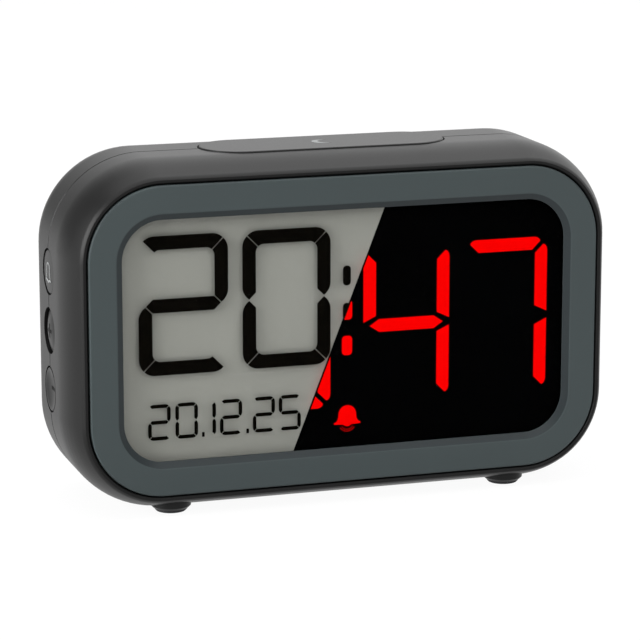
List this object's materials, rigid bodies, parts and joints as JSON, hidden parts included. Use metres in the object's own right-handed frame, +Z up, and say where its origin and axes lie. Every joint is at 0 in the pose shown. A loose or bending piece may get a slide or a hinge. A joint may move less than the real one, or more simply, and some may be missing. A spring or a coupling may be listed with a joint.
{
  "type": "digital desk clock",
  "caption": "Rounded free-standing digital desk clock with a chamfered display bezel, a push snooze bar on top, side push buttons, a hinged battery door and rubber feet.",
  "frame": {"origin": "centre of the body's footprint, on the surface that the four feet rest on", "axes": "+X to the right of someone facing the display, +Y from the display to the back, +Z up"},
  "size_m": [0.138, 0.043, 0.0859],
  "materials": {
    "shell_black": "fine moulded satin black",
    "bezel_slate": "satin slate grey",
    "window_clear": "clear acrylic",
    "lcd_glass": "grey reflective LCD",
    "film": "matt diffuser film",
    "white_moulding": "white moulding",
    "red_insert": "translucent red, lit",
    "circuit_board": "green solder mask",
    "led_resin": "clear resin",
    "chip_resin": "black resin drop",
    "contact_metal": "nickel plated",
    "strip_rubber": "layered silicone",
    "switch_plastic": "black moulding",
    "cell_jacket": "plain grey jacket",
    "sounder_brass": "rolled brass",
    "sounder_ceramic": "silvered ceramic",
    "screw_steel": "zinc plated",
    "lead_red": "soft insulation",
    "lead_black": "soft insulation",
    "foot_rubber": "matt black rubber"
  },
  "bodies": {
    "housing": {"front_shell": "shell_black", "rear_shell": "shell_black", "bezel_frame": "bezel_slate", "display_lens": "window_clear", "foot_front_left": "foot_rubber", "foot_front_right": "foot_rubber", "foot_rear_left": "foot_rubber", "foot_rear_right": "foot_rubber", "lcd_panel": "lcd_glass", "diffuser_film": "film", "light_box": "white_moulding", "segment_inserts": "red_insert", "main_board": "circuit_board", "segment_leds": "led_resin", "driver_chip": "chip_resin", "quartz_crystal": "contact_metal", "contact_strip_upper": "strip_rubber", "contact_strip_lower": "strip_rubber", "top_switch_board": "circuit_board", "snooze_switch_left": "switch_plastic", "snooze_switch_right": "switch_plastic", "side_switch_board": "circuit_board", "alarm_switch": "switch_plastic", "plus_switch": "switch_plastic", "minus_switch": "switch_plastic", "cell_upper": "cell_jacket", "cell_lower": "cell_jacket", "contact_plus": "contact_metal", "contact_minus": "contact_metal", "contact_link": "contact_metal", "sounder_disc": "sounder_brass", "sounder_ceramic": "sounder_ceramic", "housing_screws": "screw_steel", "board_screws": "screw_steel", "battery_lead_plus": "lead_red", "battery_lead_minus": "lead_black", "sounder_leads": "lead_black", "side_board_leads": "lead_black", "top_board_leads": "lead_black"},
    "snooze_key": {"snooze_bar": "shell_black", "snooze_plunger_left": "switch_plastic", "snooze_plunger_right": "switch_plastic"},
    "alarm_key": {"alarm_button": "shell_black", "alarm_plunger": "switch_plastic"},
    "plus_key": {"plus_button": "shell_black", "plus_plunger": "switch_plastic"},
    "minus_key": {"minus_button": "shell_black", "minus_plunger": "switch_plastic"},
    "battery_hatch": {"battery_door": "shell_black"}
  },
  "joints": [
    {"name": "snooze_press", "type": "slide", "parent": "housing", "child": "snooze_key", "axis": [0, 0, -1], "range_m": [0, 0.001], "stiffness_N_per_m": 1500, "springref_m": -0.0003},
    {"name": "alarm_press", "type": "slide", "parent": "housing", "child": "alarm_key", "axis": [1, 0, 0], "range_m": [0, 0.0007], "stiffness_N_per_m": 1500, "springref_m": -0.0003},
    {"name": "plus_press", "type": "slide", "parent": "housing", "child": "plus_key", "axis": [1, 0, 0], "range_m": [0, 0.0007], "stiffness_N_per_m": 1500, "springref_m": -0.0003},
    {"name": "minus_press", "type": "slide", "parent": "housing", "child": "minus_key", "axis": [1, 0, 0], "range_m": [0, 0.0007], "stiffness_N_per_m": 1500, "springref_m": -0.0003},
    {"name": "battery_door_hinge", "type": "hinge", "parent": "housing", "child": "battery_hatch", "pos_m": [0, 0.0203, 0.022], "axis": [-1, 0, 0], "range_deg": [0, 90]}
  ]
}
